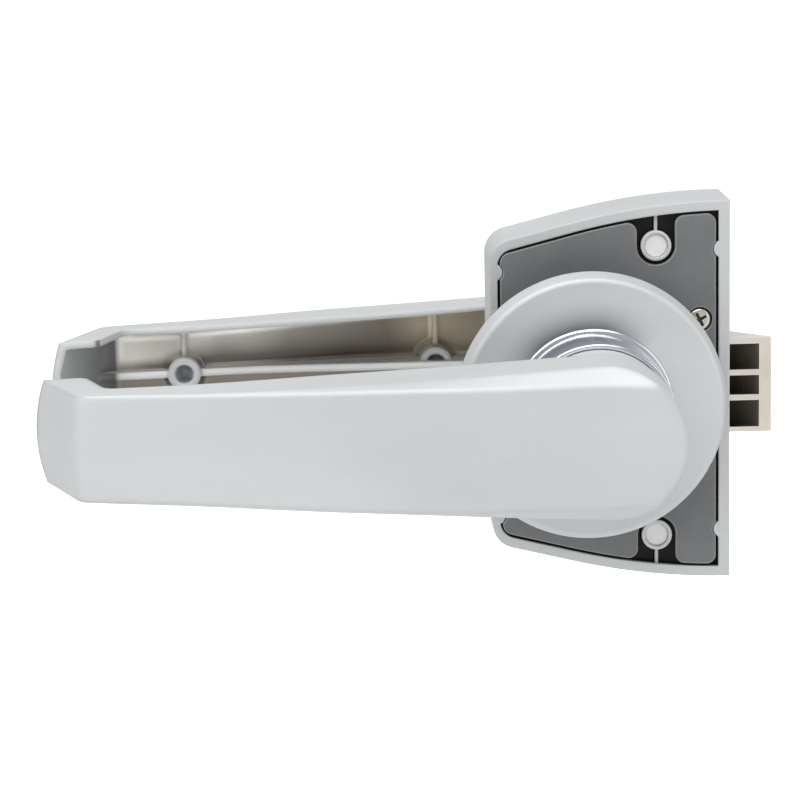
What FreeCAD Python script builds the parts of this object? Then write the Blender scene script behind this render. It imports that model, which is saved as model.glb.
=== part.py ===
import FreeCAD, Part
import math
import os
import re
import Sketcher

# Lever handle lock for a glass door. X points to the latch's nose, Y through the door from the near
# lever to the far one, Z up. The origin is on the spindle's axis, in the plane where the case meets
# the glass.

sizes = {
    # lock case, measured from its own middle height
    "case_lift": 0.67, "case_right": 34.2, "case_left": 22.6, "case_half": 45.45,
    "case_arc": 155, "case_knee": 3, "case_depth": 23, "case_floor": 2.5, "case_round": 6,
    "case_edge": 1.4, "wall_right": 2.6, "wall_left": 1.8, "wall_top": 2.3,
    "pad_gap": 0.65, "pad_thick": 2, "pad_round": 2.5, "pad_edge": 0.2,
    "plate_thick": 2, "plate_gap": 0.3,
    "boss_x": 16.75, "boss_inset": 10.45, "boss_radius": 3.6, "plug_radius": 2.8, "plug_sink": 0.5,
    "plug_edge": 0.4, "plug_length": 6, "slot_half": 4.55, "slot_mouth": 2.2, "web_half": 0.4,
    "web_sink": 1, "nib_radius": 2.1, "nib_half": 1.9, "nib_gap": 0.2, "nib_right_inset": 11.55,
    "nib_left_inset": 16,
    # how far joined shapes sink into each other, and how far cuts reach past a surface
    "join": 0.4, "past": 2,
    # clearances: press or turning fit, sliding fit, end play
    "loose_fit": 0.05, "slide_fit": 0.1, "play": 0.3,
    # screws that hold the plate
    "screw_right_x": 27.1, "screw_right_z": 17.1, "screw_left_x": 14.6, "screw_left_z": 21,
    "screw_head": 2.85, "screw_top": 0.2, "screw_shank": 1.5, "screw_end": 12,
    "screw_cross": 1.75, "screw_blade": 0.38, "screw_cross_deep": 1.1, "screw_turn": 27,
    "head_gap": 0.15, "screw_round": 1, "post_radius": 3,
    # rosette on the other side of the glass
    "glass": 12, "rosette_radius": 31.8, "rosette_taper": 1.24, "rosette_thick": 4.6,
    "cover_wall": 1, "rosette_edge": 1.3, "gasket_thick": 0.8, "gasket_inner": 24, "gasket_gap": 0.46,
    "base_gap": 0.29, "base_thick": 2.6, "base_hole": 10.2,
    "collar_radius": 18.18, "collar_wall": 1.18, "collar_edge": 0.5, "front_collar_long": 16,
    "rear_collar_long": 6.5, "ring_wide": 1.02, "ring_thick": 1.1, "ring_edge": 0.9, "ring_seat": 0.02,
    "neck_wall": 2.4, "washer_thick": 0.9, "washer_gap": 0.2,
    "bolt_z": 19, "bolt_radius": 2, "bolt_head": 4, "bolt_head_deep": 2, "bolt_socket": 1.25,
    "bolt_socket_deep": 1.2, "bolt_gap": 0.4, "insert_radius": 3, "insert_flange": 4, "insert_end": 5.5,
    # spindle, hub and bushes
    "spindle_half": 4, "spindle_edge": 0.4, "spindle_deep": 6.6, "socket_gap": 1.4,
    "hub_radius": 10, "hub_front": 6, "hub_step": 0.5, "trunnion_radius": 7.5, "trunnion_front": 2.2,
    "arm_half": 1.3, "arm_over": 1, "arm_reach": 16, "arm_tip": 2.4, "arm_lean": 20,
    "bush_outer": 9.5, "bush_flange": 11, "bush_flange_thick": 1, "lever_bush_flange": 13,
    # latch bolt and its tail
    "latch_half": 11.425, "latch_near": 6, "latch_far": 16, "latch_nose": 45.1, "latch_back": 22,
    "nose_land": 1.7, "nose_round": 0.5, "bevel_long": 8.6, "nose_wall": 3, "bevel_wall": 2,
    "pocket_back": 30, "pocket_floor": 2, "pocket_a_top": 10.66, "pocket_a_low": 4.38,
    "pocket_b_top": 3.01, "pocket_b_low": -1.72, "pocket_c_top": -3.09, "pocket_c_low": -9.58,
    "guide_start": 24, "guide_end": 31.5, "guide_wall": 1.5, "guide_lip": 1.9, "guide_round": 0.8,
    "tail_thick": 3, "tail_gap": 0.3, "lug_face": 2.9, "lug_thick": 3, "lug_low": 13, "lug_round": 0.8,
    "bar_low": 19, "bar_top": 23, "bar_round": 1.5, "leg_start": 18, "leg_low": 8.2, "tongue_end": 26.5,
    "tongue_top": 11.5, "tongue_low": 7.6, "rivet_x": 24.5, "rivet_z": 9.5, "rivet_radius": 1.25,
    "rivet_sink": 0.2, "spring_z": 16, "spigot_radius": 1.2, "spigot_long": 3,
    # springs
    "latch_wire": 0.35, "latch_coil": 1.8, "latch_turns": 10, "latch_spring_gap": 0.1,
    "hub_wire": 0.4, "hub_coil": 8.6, "hub_turns": 2, "hub_spring_gap": 0.2, "hub_leg": 6,
    "lever_wire": 0.6, "lever_coil": 11, "lever_turns": 3, "lever_pitch": 1.7,
    "lever_spring_gap": 0.7, "lever_leg": 4,
    # levers: the rims' distances from the rosette and the case, then depths from the rim's plane
    "front_lift": 24.8, "rear_lift": 13.93, "head_radius": 17.55, "head_lean": 0.015,
    "head_edge": 0.4, "lever_wall": 1.35, "face_wall": 2, "rim_turn": 111.3, "tip_start": 116.7,
    "rim_round": 3.2, "tip_return": 14.7, "tip_end": 128.2, "tip_lean": 25.46, "face_lean": 8.5,
    "tip_bend_deep": 3.02, "tip_bend_round": 5, "tip_arc": 32, "tip_bend_arc": 100, "tip_wall": 1.9,
    "hollow_bend_deep": -1.56, "hollow_bend_round": 8, "hollow_mouth": 109, "hollow_half": 10.3,
    "hollow_bow": 1.6, "hollow_flat": 4, "hollow_corner": 1, "hollow_drop": 2.2, "hollow_side": 1.6,
    "cavity_start": 20, "cavity_round": 2, "rail_half": 0.9, "rail_sink": 1,
    "web_thick": 0.65, "web_drop": 1.5,
    "boss_a_x": 96.8, "boss_a_deep": 4, "boss_b_x": 33.6, "boss_b_deep": 11, "boss_outer": 4.1,
    "boss_hole": 2.6, "boss_hole_end": 0.9, "boss_hole_deep": 3.2, "boss_collar": 5.1,
    "boss_collar_deep": 1.6, "boss_sink": 1, "bore_deep": 5, "core_radius": 8, "core_past": 1,
    "rear_core_gap": 1.4,
    "grub_radius": 2.5, "grub_inset": 3.9, "grub_sink": 0.5, "grub_socket": 1.25, "grub_socket_deep": 3,
    "retainer_radius": 11, "retainer_inner": 7.2, "retainer_thick": 1,
}

# cross sections of the lever's arm: distance from the axis, half width at the rim, half width and
# depth of the crease, half width and depth of the face, then the roundings of the two edges
stations = (
    (-20, 17.57, 17.35, 14.5, 13.75, 19.0, 1.1, 0.9),
    (0, 17.57, 17.35, 14.5, 13.75, 19.0, 1.1, 0.9),
    (15, 16.73, 16.5, 15.0, 13.75, 19.6, 1.1, 0.9),
    (30, 15.85, 15.6, 15.4, 13.75, 19.9, 1.1, 0.9),
    (45, 15.03, 14.8, 15.0, 13.7, 19.0, 1.0, 0.8),
    (60, 14.32, 14.1, 14.3, 13.25, 17.1, 0.7, 0.7),
    (75, 13.54, 13.35, 13.1, 12.75, 14.5, 0.5, 0.5),
    (90, 12.85, 12.7, 11.1, 12.3, 11.9, 0.3, 0.35),
    (106, 12.4, 12.3, 8.8, 12.0, 9.3, 0.2, 0.2),
    (118, 12.02, 11.93, 7.05, 11.65, 7.5, 0.2, 0.2),
    (132, 11.45, 11.35, 5.0, 11.1, 5.4, 0.15, 0.15),
)
columns = ("x", "rim", "crease", "bend", "face", "depth", "crease_round", "face_round")
for index, row in enumerate(stations):
    sizes.update({f"arm{index}_{column}": number for column, number in zip(columns, row)})

# top of the rail in the arm's hollow: distance from the axis and depth
railTop = ((118.6, 2.4), (105, 4), (93, 6), (80, 8), (68, 8.5), (19.6, 8.5))
for index, (x, deep) in enumerate(railTop):
    sizes.update({f"rail{index}_x": x, f"rail{index}_deep": deep})

doc = FreeCAD.newDocument("lever_door_lock")
sheet = doc.addObject("Spreadsheet::Sheet", "dims")
for line, (name, number) in enumerate(sizes.items(), 1):
    sheet.set(f"A{line}", name)
    sheet.set(f"B{line}", str(number))
    sheet.setAlias(f"B{line}", name)
doc.recompute()


def bound(text):
    return re.sub(r"[a-z]\w*", lambda word: "dims." + word[0] if word[0] in sizes else word[0], str(text))


def value(text):
    return float(sheet.evalExpression(bound(text)))


def bind(thing, path, text):
    thing.setExpression(path, bound(text))


def pin(sketch, kind, where, text):
    index = sketch.addConstraint(Sketcher.Constraint(kind, *where, value(text)))
    bind(sketch, f"Constraints[{index}]", text)


def drawCircle(sketch, x, y, radius):
    centre = FreeCAD.Vector(value(x), value(y), 0)
    index = sketch.addGeometry(Part.Circle(centre, FreeCAD.Vector(0, 0, 1), value(radius)))
    pin(sketch, "DistanceX", (-1, 1, index, 3), x)
    pin(sketch, "DistanceY", (-1, 1, index, 3), y)
    pin(sketch, "Radius", (index,), radius)


def arcBetween(start, end, radius):
    """Minor arc that bulges to the left of the way from start to end, or right if radius is below 0."""
    chord = end - start
    left = FreeCAD.Vector(-chord.y, chord.x, 0).normalize()
    reach = math.sqrt(radius ** 2 - (chord.Length / 2) ** 2)
    side = math.copysign(1, radius)
    centre = (start + end) / 2 - left * reach * side
    middle = centre + left * abs(radius) * side
    return Part.Arc(start, middle, end)


def drawLoop(sketch, corners):
    """Closed outline. A corner is (x, y), (x, y, rounding) or (x, y, None, arc radius to the next)."""
    corners = [tuple(corner) + (None,) * (4 - len(corner)) for corner in corners]
    places = [FreeCAD.Vector(value(x), value(y), 0) for x, y, _, _ in corners]
    ends = []
    for index, (_, _, _, arc) in enumerate(corners):
        start = places[index]
        end = places[(index + 1) % len(places)]
        if arc is None:
            line = sketch.addGeometry(Part.LineSegment(start, end))
            ends.append((line, 1, 2))
            continue
        line = sketch.addGeometry(arcBetween(start, end, value(arc)))
        turned = value(arc) > 0
        ends.append((line, 2, 1) if turned else (line, 1, 2))
        pin(sketch, "Radius", (line,), f"abs({arc})")
    for index, (line, first, _) in enumerate(ends):
        before, _, last = ends[index - 1]
        sketch.addConstraint(Sketcher.Constraint("Coincident", before, last, line, first))
        pin(sketch, "DistanceX", (-1, 1, line, first), corners[index][0])
        pin(sketch, "DistanceY", (-1, 1, line, first), corners[index][1])
    for index, (_, _, rounding, _) in enumerate(corners):
        if rounding is None:
            continue
        line, first, _ = ends[index]
        sketch.fillet(line, first, value(rounding), True, True)
        kinds = [item.TypeId for item in sketch.Geometry]
        newest = len(kinds) - 1 - kinds[::-1].index("Part::GeomArcOfCircle")
        pin(sketch, "Radius", (newest,), rounding)


def newBody(label):
    body = doc.addObject("PartDesign::Body", label)
    body.Label = label
    return body


def sketchOn(body, role, offset, loops, aside="0"):
    sketch = body.newObject("Sketcher::SketchObject", body.Label + "_outline")
    plane = next(item for item in body.Origin.OriginFeatures if item.Role == role)
    sketch.AttachmentSupport = (plane, [""])
    sketch.MapMode = "FlatFace"
    sign = "-1" if role == "XZ_Plane" else "1"
    bind(sketch, "AttachmentOffset.Base.z", f"{sign} * ({offset})")
    bind(sketch, "AttachmentOffset.Base.x", aside)
    for loop in loops:
        if isinstance(loop, tuple):
            drawCircle(sketch, *loop)
        else:
            drawLoop(sketch, loop)
    sketch.Visibility = False
    return sketch


def extrude(body, kind, start, end, loops, role="XZ_Plane"):
    """Pad or Pocket between two places on the plane's axis, in either order."""
    if value(start) > value(end):
        start, end = end, start
    profile = sketchOn(body, role, start, loops)
    feature = body.newObject("PartDesign::" + kind, f"{body.Label}_{kind.lower()}")
    feature.Profile = profile
    bind(feature, "Length", f"({end}) - ({start})")
    feature.Reversed = (kind == "Pad") == (role == "XZ_Plane")
    return feature


def pad(body, start, end, *loops, role="XZ_Plane"):
    return extrude(body, "Pad", start, end, loops, role)


def pocket(body, start, end, *loops, role="XZ_Plane"):
    return extrude(body, "Pocket", start, end, loops, role)


def turn(body, corners, kind="Revolution", x="0", z="0"):
    """Solid or groove turned about an axis along Y, from corners of (radius, y)."""
    profile = sketchOn(body, "XY_Plane", z, [corners], aside=x)
    feature = body.newObject("PartDesign::" + kind, f"{body.Label}_{kind.lower()}")
    feature.Profile = profile
    feature.ReferenceAxis = (profile, ["V_Axis"])
    feature.Angle = 360
    return feature


def loft(body, kind, role, sections, ruled=False):
    outlines = [sketchOn(body, role, offset, [corners]) for offset, corners in sections]
    feature = body.newObject(f"PartDesign::{kind}Loft", f"{body.Label}_{kind.lower()}")
    feature.Profile = outlines[0]
    feature.Sections = outlines[1:]
    feature.Ruled = ruled
    return feature


def roundEdges(body, radius, choose, kind="Fillet"):
    """Rounds or chamfers the edges of the body for which choose(edge) holds."""
    doc.recompute()
    tip = body.Tip
    names = [f"Edge{number}" for number, edge in enumerate(tip.Shape.Edges, 1) if choose(edge)]
    feature = body.newObject("PartDesign::" + kind, f"{body.Label}_{kind.lower()}")
    feature.Base = (tip, names)
    bind(feature, "Radius" if kind == "Fillet" else "Size", radius)
    return feature


def rectangle(left, right, low, high, rounding=None):
    return [(left, low, rounding), (right, low, rounding), (right, high, rounding),
            (left, high, rounding)]


def turnedRectangle(x, z, wide, high, angle):
    """Rectangle about (x, z) with half sizes wide and high, turned by angle."""
    return [(f"{x} + {across} * {wide} * cos({angle}) - ({up}) * {high} * sin({angle})",
             f"{z} + {across} * {wide} * sin({angle}) + ({up}) * {high} * cos({angle})")
            for across, up in ((-1, -1), (1, -1), (1, 1), (-1, 1))]


def tube(label, inner, outer, start, end):
    body = newBody(label)
    turn(body, rectangle(inner, outer, start, end))
    return body


# The lock case.
def caseHigh(x, inset):
    """Half height of the case's curved edge at x, moved in by inset."""
    return (f"case_half - case_arc + sqrt((case_arc - ({inset})) ^ 2 - (case_right - ({x})) ^ 2)")


def caseOutline(right, left, top, rounding, sharp=None):
    """Outline of the case moved in by right, left and top: arcs, then tangents to the left corners."""
    end = f"case_right - ({right})"
    knee = "-case_knee"
    start = f"-case_left + ({left})"
    reach = "(case_right + case_knee)"
    slope = f"{reach} / sqrt((case_arc - ({top})) ^ 2 - {reach} ^ 2)"
    corner = f"({caseHigh(knee, top)}) - ({slope}) * (case_left - ({left}) - case_knee)"
    endHigh = caseHigh(end, top)
    kneeHigh = caseHigh(knee, top)
    arc = f"case_arc - ({top})"
    low = "case_lift - ({})".format
    high = "case_lift + ({})".format
    return [
        (end, low(endHigh)), (end, high(endHigh), None, f"-({arc})"), (knee, high(kneeHigh)),
        (start, high(corner), rounding), (start, low(corner), rounding),
        (knee, low(kneeHigh), None, f"-({arc})"),
    ]


def nibLoop(face, side, z):
    """Half-round nib on an inner side wall; side is 1 on the right wall and -1 on the left."""
    root = f"({face}) + ({side} * join)"
    bulge = "nib_radius" if side == 1 else "-nib_radius"
    return [(root, f"{z} - nib_half"), (face, f"{z} - nib_half", None, bulge),
            (face, f"{z} + nib_half"), (root, f"{z} + nib_half")]


innerRight = "case_right - wall_right"
innerLeft = "-case_left + wall_left"
nibs = [(face, side, f"case_lift {sign} (case_half - {inset})")
        for face, side, inset in ((innerRight, 1, "nib_right_inset"), (innerLeft, -1, "nib_left_inset"))
        for sign in "+-"]
nibReach = "sqrt(nib_radius ^ 2 - nib_half ^ 2)"
nibNotches = [(f"{face} + {side} * {nibReach}", z, "nib_radius + nib_gap") for face, side, z in nibs]
screwPlaces = [(x, f"case_lift {sign} {z}") for x, z in (("screw_right_x", "screw_right_z"),
                                                         ("-screw_left_x", "screw_left_z"))
               for sign in "+-"]
bossHigh = "(case_half - boss_inset)"
bossPlaces = [("boss_x", f"case_lift + {bossHigh}"), ("boss_x", f"case_lift - {bossHigh}")]
plateEnd = "pad_thick + plate_thick"
caseInner = "case_depth - case_floor"
backWall = f"{caseInner} + join"


def slotLoop(side):
    """U cut-out round a fixing boss, open to the top (side 1) or the bottom (side -1)."""
    z = f"case_lift + {side} * {bossHigh}"
    mouth = f"case_lift + {side} * (case_half + past)"
    bulge = f"{-side} * slot_half"
    return [("boss_x - slot_half", mouth), ("boss_x - slot_half", z, None, bulge),
            ("boss_x", f"{z} - {side} * slot_half", None, bulge),
            ("boss_x + slot_half", z), ("boss_x + slot_half", mouth)]


def alongY(edge):
    box = edge.BoundBox
    return box.XLength + box.ZLength < 0.01


latchLow = "case_lift - latch_half"
latchHigh = "case_lift + latch_half"
latchMiddle = "(latch_near + latch_far) / 2"
latchWindow = rectangle("latch_near - slide_fit", "latch_far + slide_fit", f"{latchLow} - slide_fit",
                        f"{latchHigh} + slide_fit")
guideRear = "latch_far + guide_lip"

case = newBody("case_shell")
pad(case, "0", "case_depth", caseOutline("0", "0", "0", None))
roundEdges(case, "case_round",
           lambda edge: alongY(edge) and edge.CenterOfMass.x < value("-case_left") + 1)
roundEdges(case, "case_edge", lambda edge: edge.BoundBox.YMin > value("case_depth") - 0.01)
pocket(case, "0", caseInner, caseOutline("wall_right", "wall_left", "wall_top", "case_round - wall_left"))
for face, side, z in nibs:
    pad(case, "loose_fit", backWall, nibLoop(face, side, z))
pad(case, plateEnd, backWall, *[(x, z, "post_radius") for x, z in screwPlaces])
pad(case, "0", backWall, *[(x, z, "boss_radius") for x, z in bossPlaces])
for side in (1, -1):
    webEnd = f"case_lift + {side} * (case_half - wall_top + join)"
    webStart = f"case_lift + {side} * ({bossHigh} + boss_radius - join)"
    low, high = (webStart, webEnd) if side == 1 else (webEnd, webStart)
    pad(case, "web_sink", backWall, rectangle("boss_x - web_half", "boss_x + web_half", low, high))
pocket(case, "0", "plug_sink + plug_length", *[(x, z, "plug_radius") for x, z in bossPlaces])
pocket(case, plateEnd, "screw_end + play", *[(x, z, "screw_shank + loose_fit") for x, z in screwPlaces])
pad(case, guideRear, backWall,
    rectangle("guide_start + join", "guide_end - join", latchLow, latchHigh))
pad(case, innerLeft + " - join", innerLeft + " + spigot_long", (latchMiddle, "spring_z", "spigot_radius"),
    role="YZ_Plane")
pocket(case, "case_depth", caseInner, ("0", "0", "bush_outer"))
pocket(case, "case_right + past", innerRight + " - join", latchWindow, role="YZ_Plane")

clampPad = newBody("clamp_pad")
padTop = "wall_top + pad_gap"
pad(clampPad, "0", "pad_thick",
    caseOutline("wall_right + pad_gap", "wall_left + pad_gap", padTop, "pad_round"))
for notch in nibNotches:
    pocket(clampPad, "0", "pad_thick", notch)
for side in (1, -1):
    pocket(clampPad, "0", "pad_thick", slotLoop(side))
boltPlaces = [("0", "bolt_z"), ("0", "-bolt_z")]
pocket(clampPad, "0", "pad_thick", ("0", "0", "bush_flange"))
for x, z in screwPlaces:
    pocket(clampPad, "0", "pad_thick", (x, z, "screw_head + head_gap"))
for x, z in boltPlaces:
    pocket(clampPad, "0", "pad_thick", (x, z, "bolt_radius + bolt_gap"))


def padCorner(edge):
    """Upright corners of the pad at its right side and at the mouths of the cut-outs."""
    centre = edge.CenterOfMass
    high = abs(centre.z - value("case_lift"))
    return (alongY(edge) and high > value(f"{bossHigh} + slot_half / 2")
            and centre.x > value("boss_x - slot_half - join"))


roundEdges(clampPad, "slot_mouth", padCorner)
roundEdges(clampPad, "pad_edge", lambda edge: edge.BoundBox.YMax < 0.001)

plate = newBody("mechanism_plate")
pad(plate, "pad_thick", plateEnd,
    caseOutline("wall_right + plate_gap", "wall_left + plate_gap", "wall_top + plate_gap",
                "case_round - wall_left"))
for x, z, radius in nibNotches:
    pocket(plate, "pad_thick", plateEnd, (x, z, radius))
for x, z in bossPlaces:
    pocket(plate, "pad_thick", plateEnd, (x, z, "boss_radius + plate_gap"))
for side in (1, -1):
    low, high = sorted((f"case_lift + {side} * {bossHigh}", f"case_lift + {side} * case_half"), key=value)
    pocket(plate, "pad_thick", plateEnd,
           rectangle("boss_x - web_half - plate_gap", "boss_x + web_half + plate_gap", low, high))
for x, z in screwPlaces:
    pocket(plate, "pad_thick", plateEnd, (x, z, "screw_shank + slide_fit"))
for x, z in boltPlaces:
    pocket(plate, "pad_thick", plateEnd, (x, z, "insert_radius"))
pocket(plate, "pad_thick", plateEnd, ("0", "0", "bush_outer"))

screws = newBody("cover_screws")
pad(screws, "pad_thick", "screw_end", *[(x, z, "screw_shank") for x, z in screwPlaces])
pad(screws, "screw_top", "pad_thick", *[(x, z, "screw_head") for x, z in screwPlaces])
roundEdges(screws, "screw_round", lambda edge: edge.BoundBox.YMax < value("screw_top") + 0.01)
for x, z in screwPlaces:
    for wide, high in (("screw_cross", "screw_blade"), ("screw_blade", "screw_cross")):
        pocket(screws, "screw_top", "screw_top + screw_cross_deep",
               turnedRectangle(x, z, wide, high, "screw_turn"))

plugs = newBody("boss_plugs")
pad(plugs, "plug_sink", "plug_sink + plug_length", *[(x, z, "plug_radius") for x, z in bossPlaces])
roundEdges(plugs, "plug_edge", lambda edge: edge.BoundBox.YMax < value("plug_sink") + 0.01)

inserts = newBody("clamp_inserts")
pad(inserts, "pad_thick", "insert_end", *[(x, z, "insert_radius") for x, z in boltPlaces])
pad(inserts, plateEnd, "insert_end", *[(x, z, "insert_flange") for x, z in boltPlaces])
pocket(inserts, "pad_thick", "insert_end", *[(x, z, "bolt_radius + loose_fit") for x, z in boltPlaces])


def flangedBush(label, bore, outer, flange, start, step, end):
    """Bush along Y whose flange lies between step and end."""
    body = newBody(label)
    turn(body, [(bore, start), (outer, start), (outer, step), (flange, step), (flange, end), (bore, end)])


bushBore = "trunnion_radius + loose_fit"
flangedBush("hub_bush_front", bushBore, "bush_outer", "bush_flange", "pad_thick + loose_fit", plateEnd,
            f"{plateEnd} + bush_flange_thick")
flangedBush("hub_bush_rear", bushBore, "bush_outer", "bush_flange", "case_depth", caseInner,
            f"{caseInner} - bush_flange_thick")

# The latch, its guide and its tail.
guide = newBody("latch_guide")
pad(guide, "guide_start", "guide_end",
    rectangle("latch_near - guide_lip", guideRear, f"{latchLow} - guide_wall",
              f"{latchHigh} + guide_wall", "guide_round"), role="YZ_Plane")
pocket(guide, "guide_start", "guide_end", latchWindow, role="YZ_Plane")

bolt = newBody("latch_bolt")
noseFlat = "latch_near + nose_land"
bevelStart = "latch_nose - bevel_long"
pad(bolt, latchLow, latchHigh,
    [("latch_back", "latch_near"), ("latch_nose", "latch_near", "nose_round"), ("latch_nose", noseFlat),
     (bevelStart, "latch_far"), ("latch_back", "latch_far")], role="XY_Plane")
bevelSlope = f"(latch_far - ({noseFlat})) / bevel_long"
bevelDrop = f"bevel_wall * sqrt(1 + ({bevelSlope}) ^ 2)"
pocketEnd = "latch_nose - nose_wall"
floorNear = f"latch_far - ({pocketEnd} - ({bevelStart})) * {bevelSlope} - {bevelDrop}"
floorStart = f"{bevelStart} + (pocket_floor - {bevelDrop}) / ({bevelSlope})"
for low, high in (("pocket_a_low", "pocket_a_top"), ("pocket_b_low", "pocket_b_top"),
                  ("pocket_c_low", "pocket_c_top")):
    pocket(bolt, low, high,
           [("pocket_back", "latch_near - past"), (pocketEnd, "latch_near - past"),
            (pocketEnd, floorNear), (floorStart, "latch_far - pocket_floor"),
            ("pocket_back", "latch_far - pocket_floor")],
           role="XY_Plane")
tailNear = f"{latchMiddle} - tail_thick / 2"
tailFar = f"{latchMiddle} + tail_thick / 2"
pocket(bolt, "tongue_low - tail_gap", latchHigh,
       rectangle("latch_back", "tongue_end + tail_gap", f"{tailNear} - loose_fit",
                 f"{tailFar} + loose_fit"),
       role="XY_Plane")
pocket(bolt, "latch_near", "latch_far", ("rivet_x", "rivet_z", "rivet_radius"))

tail = newBody("latch_tail")
lugBack = "lug_face - lug_thick"
pad(tail, tailNear, tailFar,
    [(lugBack, "lug_low", "lug_round"), ("lug_face", "lug_low", "lug_round"), ("lug_face", "bar_low"),
     ("leg_start", "bar_low"), ("leg_start", "leg_low"), ("latch_back", "leg_low"),
     ("latch_back", "tongue_low"), ("tongue_end", "tongue_low"), ("tongue_end", "tongue_top"),
     ("latch_back", "tongue_top"), ("latch_back", "bar_top", "bar_round"),
     (lugBack, "bar_top", "bar_round")])
pad(tail, lugBack, lugBack + " - spigot_long", (latchMiddle, "spring_z", "spigot_radius"),
    role="YZ_Plane")
pocket(tail, tailNear, tailFar, ("rivet_x", "rivet_z", "rivet_radius"))

rivet = newBody("tail_rivet")
pad(rivet, "latch_near + rivet_sink", "latch_far - rivet_sink", ("rivet_x", "rivet_z", "rivet_radius"))

# The hub with its arm, and the spindle.
hub = newBody("hub")
armFront = f"{tailNear} - arm_over"
armRear = f"{tailFar} + arm_over"
hubRear = f"{armRear} + hub_step"
turn(hub, [("0", "trunnion_front"), ("trunnion_radius", "trunnion_front"),
           ("trunnion_radius", "hub_front"), ("hub_radius", "hub_front"), ("hub_radius", hubRear),
           ("trunnion_radius", hubRear), ("trunnion_radius", "case_depth"), ("0", "case_depth")])
tipX = "arm_reach * sin(arm_lean)"
tipZ = "arm_reach * cos(arm_lean)"
aside = "arm_half * cos(arm_lean)"
rise = "arm_half * sin(arm_lean)"
pad(hub, armFront, armRear,
    [(f"-1 * {aside}", rise), (aside, f"-1 * {rise}"), (f"{tipX} + {aside}", f"{tipZ} - {rise}"),
     (f"{tipX} - {aside}", f"{tipZ} + {rise}")])
pad(hub, armFront, armRear, (tipX, tipZ, "arm_tip"))
squareHole = rectangle(*["-spindle_half - loose_fit", "spindle_half + loose_fit"] * 2)
pocket(hub, "trunnion_front", "case_depth", squareHole)

frontRim = "-glass - rosette_thick - front_lift"
rearRim = "case_depth + rear_lift"
spindle = newBody("spindle")
pad(spindle, f"{frontRim} - spindle_deep", f"{rearRim} + spindle_deep",
    rectangle("-spindle_half", "spindle_half", "-spindle_half", "spindle_half"))
roundEdges(spindle, "spindle_edge", alongY, kind="Chamfer")

# The rosette on the near side of the glass.
back = "-glass"
face = "-glass - rosette_thick"
baseBack = "-glass - gasket_thick"
baseFace = "-glass - gasket_thick - base_thick"
rosetteSlope = "rosette_taper / rosette_thick"
coverBack = f"rosette_radius - cover_wall * sqrt(1 + ({rosetteSlope}) ^ 2)"
coverInner = f"{coverBack} - {rosetteSlope} * (rosette_thick - cover_wall)"
tube("rosette_gasket", "gasket_inner", f"{coverBack} - gasket_gap", baseBack, back)

base = newBody("rosette_base")
turn(base, rectangle("base_hole", f"{coverInner} - base_gap", baseFace, baseBack))
for x, z in boltPlaces:
    pocket(base, baseFace, baseBack, (x, z, "bolt_radius + slide_fit"))
    turn(base, [("0", baseFace), ("bolt_head + loose_fit", baseFace),
                ("bolt_radius + loose_fit", f"{baseFace} + bolt_head_deep"),
                ("0", f"{baseFace} + bolt_head_deep")],
         kind="Groove", x=x, z=z)

cover = newBody("rosette_cover")
turn(cover, [("rosette_radius", back), ("rosette_radius - rosette_taper", face, "rosette_edge"),
             ("collar_radius + slide_fit", face), ("collar_radius + slide_fit", face + " + cover_wall"),
             (coverInner, face + " + cover_wall", "rosette_edge / 2"), (coverBack, back)])

boltNode = newBody("clamp_bolts")
pad(boltNode, baseFace, "insert_end", *[(x, z, "bolt_radius") for x, z in boltPlaces])
for x, z in boltPlaces:
    turn(boltNode, [("0", baseFace), ("bolt_head", baseFace),
                    ("bolt_radius", f"{baseFace} + bolt_head_deep"),
                    ("0", f"{baseFace} + bolt_head_deep")], x=x, z=z)
for x, z in boltPlaces:
    pocket(boltNode, baseFace, f"{baseFace} + bolt_socket_deep",
           turnedRectangle(x, z, "bolt_socket", "bolt_socket", "0"))


collarBore = "collar_radius - collar_wall"
neckRadius = f"{collarBore} - slide_fit"
neckBore = f"{neckRadius} - neck_wall"


def collar(label, seat, end, ringSeat, toward):
    """Polished neck tube with its rounded ring; toward is the way along Y from the seat to the end."""
    body = newBody(label)
    ringStart = f"{ringSeat} + {toward} * ring_seat"
    ringEnd = f"{ringSeat} + {toward} * ring_thick"
    turn(body, [(collarBore, seat), ("collar_radius", seat), ("collar_radius", ringStart),
                ("collar_radius + ring_wide", ringStart),
                ("collar_radius + ring_wide", ringEnd, "ring_edge"),
                ("collar_radius", ringEnd), ("collar_radius", end, "collar_edge"),
                (collarBore, end, "collar_edge")])


frontWasher = f"{baseFace} - washer_thick"
rearWasher = "case_depth + washer_thick"
collar("front_collar", baseFace, f"{face} - front_collar_long", face, -1)
collar("rear_collar", "case_depth", "case_depth + rear_collar_long", "case_depth", 1)
for label, start, end in (("rear_thrust_washer", "case_depth", rearWasher),
                          ("front_thrust_washer", frontWasher, baseFace)):
    tube(label, f"{neckBore} - play", f"{collarBore} - washer_gap", start, end)
flangedBush("front_lever_bush", "core_radius + slide_fit", "base_hole", "lever_bush_flange",
            baseBack, baseFace, frontWasher)
retainerStart = f"{baseBack} + play"
retainerEnd = f"{retainerStart} + retainer_thick"
tube("front_retaining_ring", "retainer_inner", "retainer_radius", retainerStart, retainerEnd)

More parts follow.
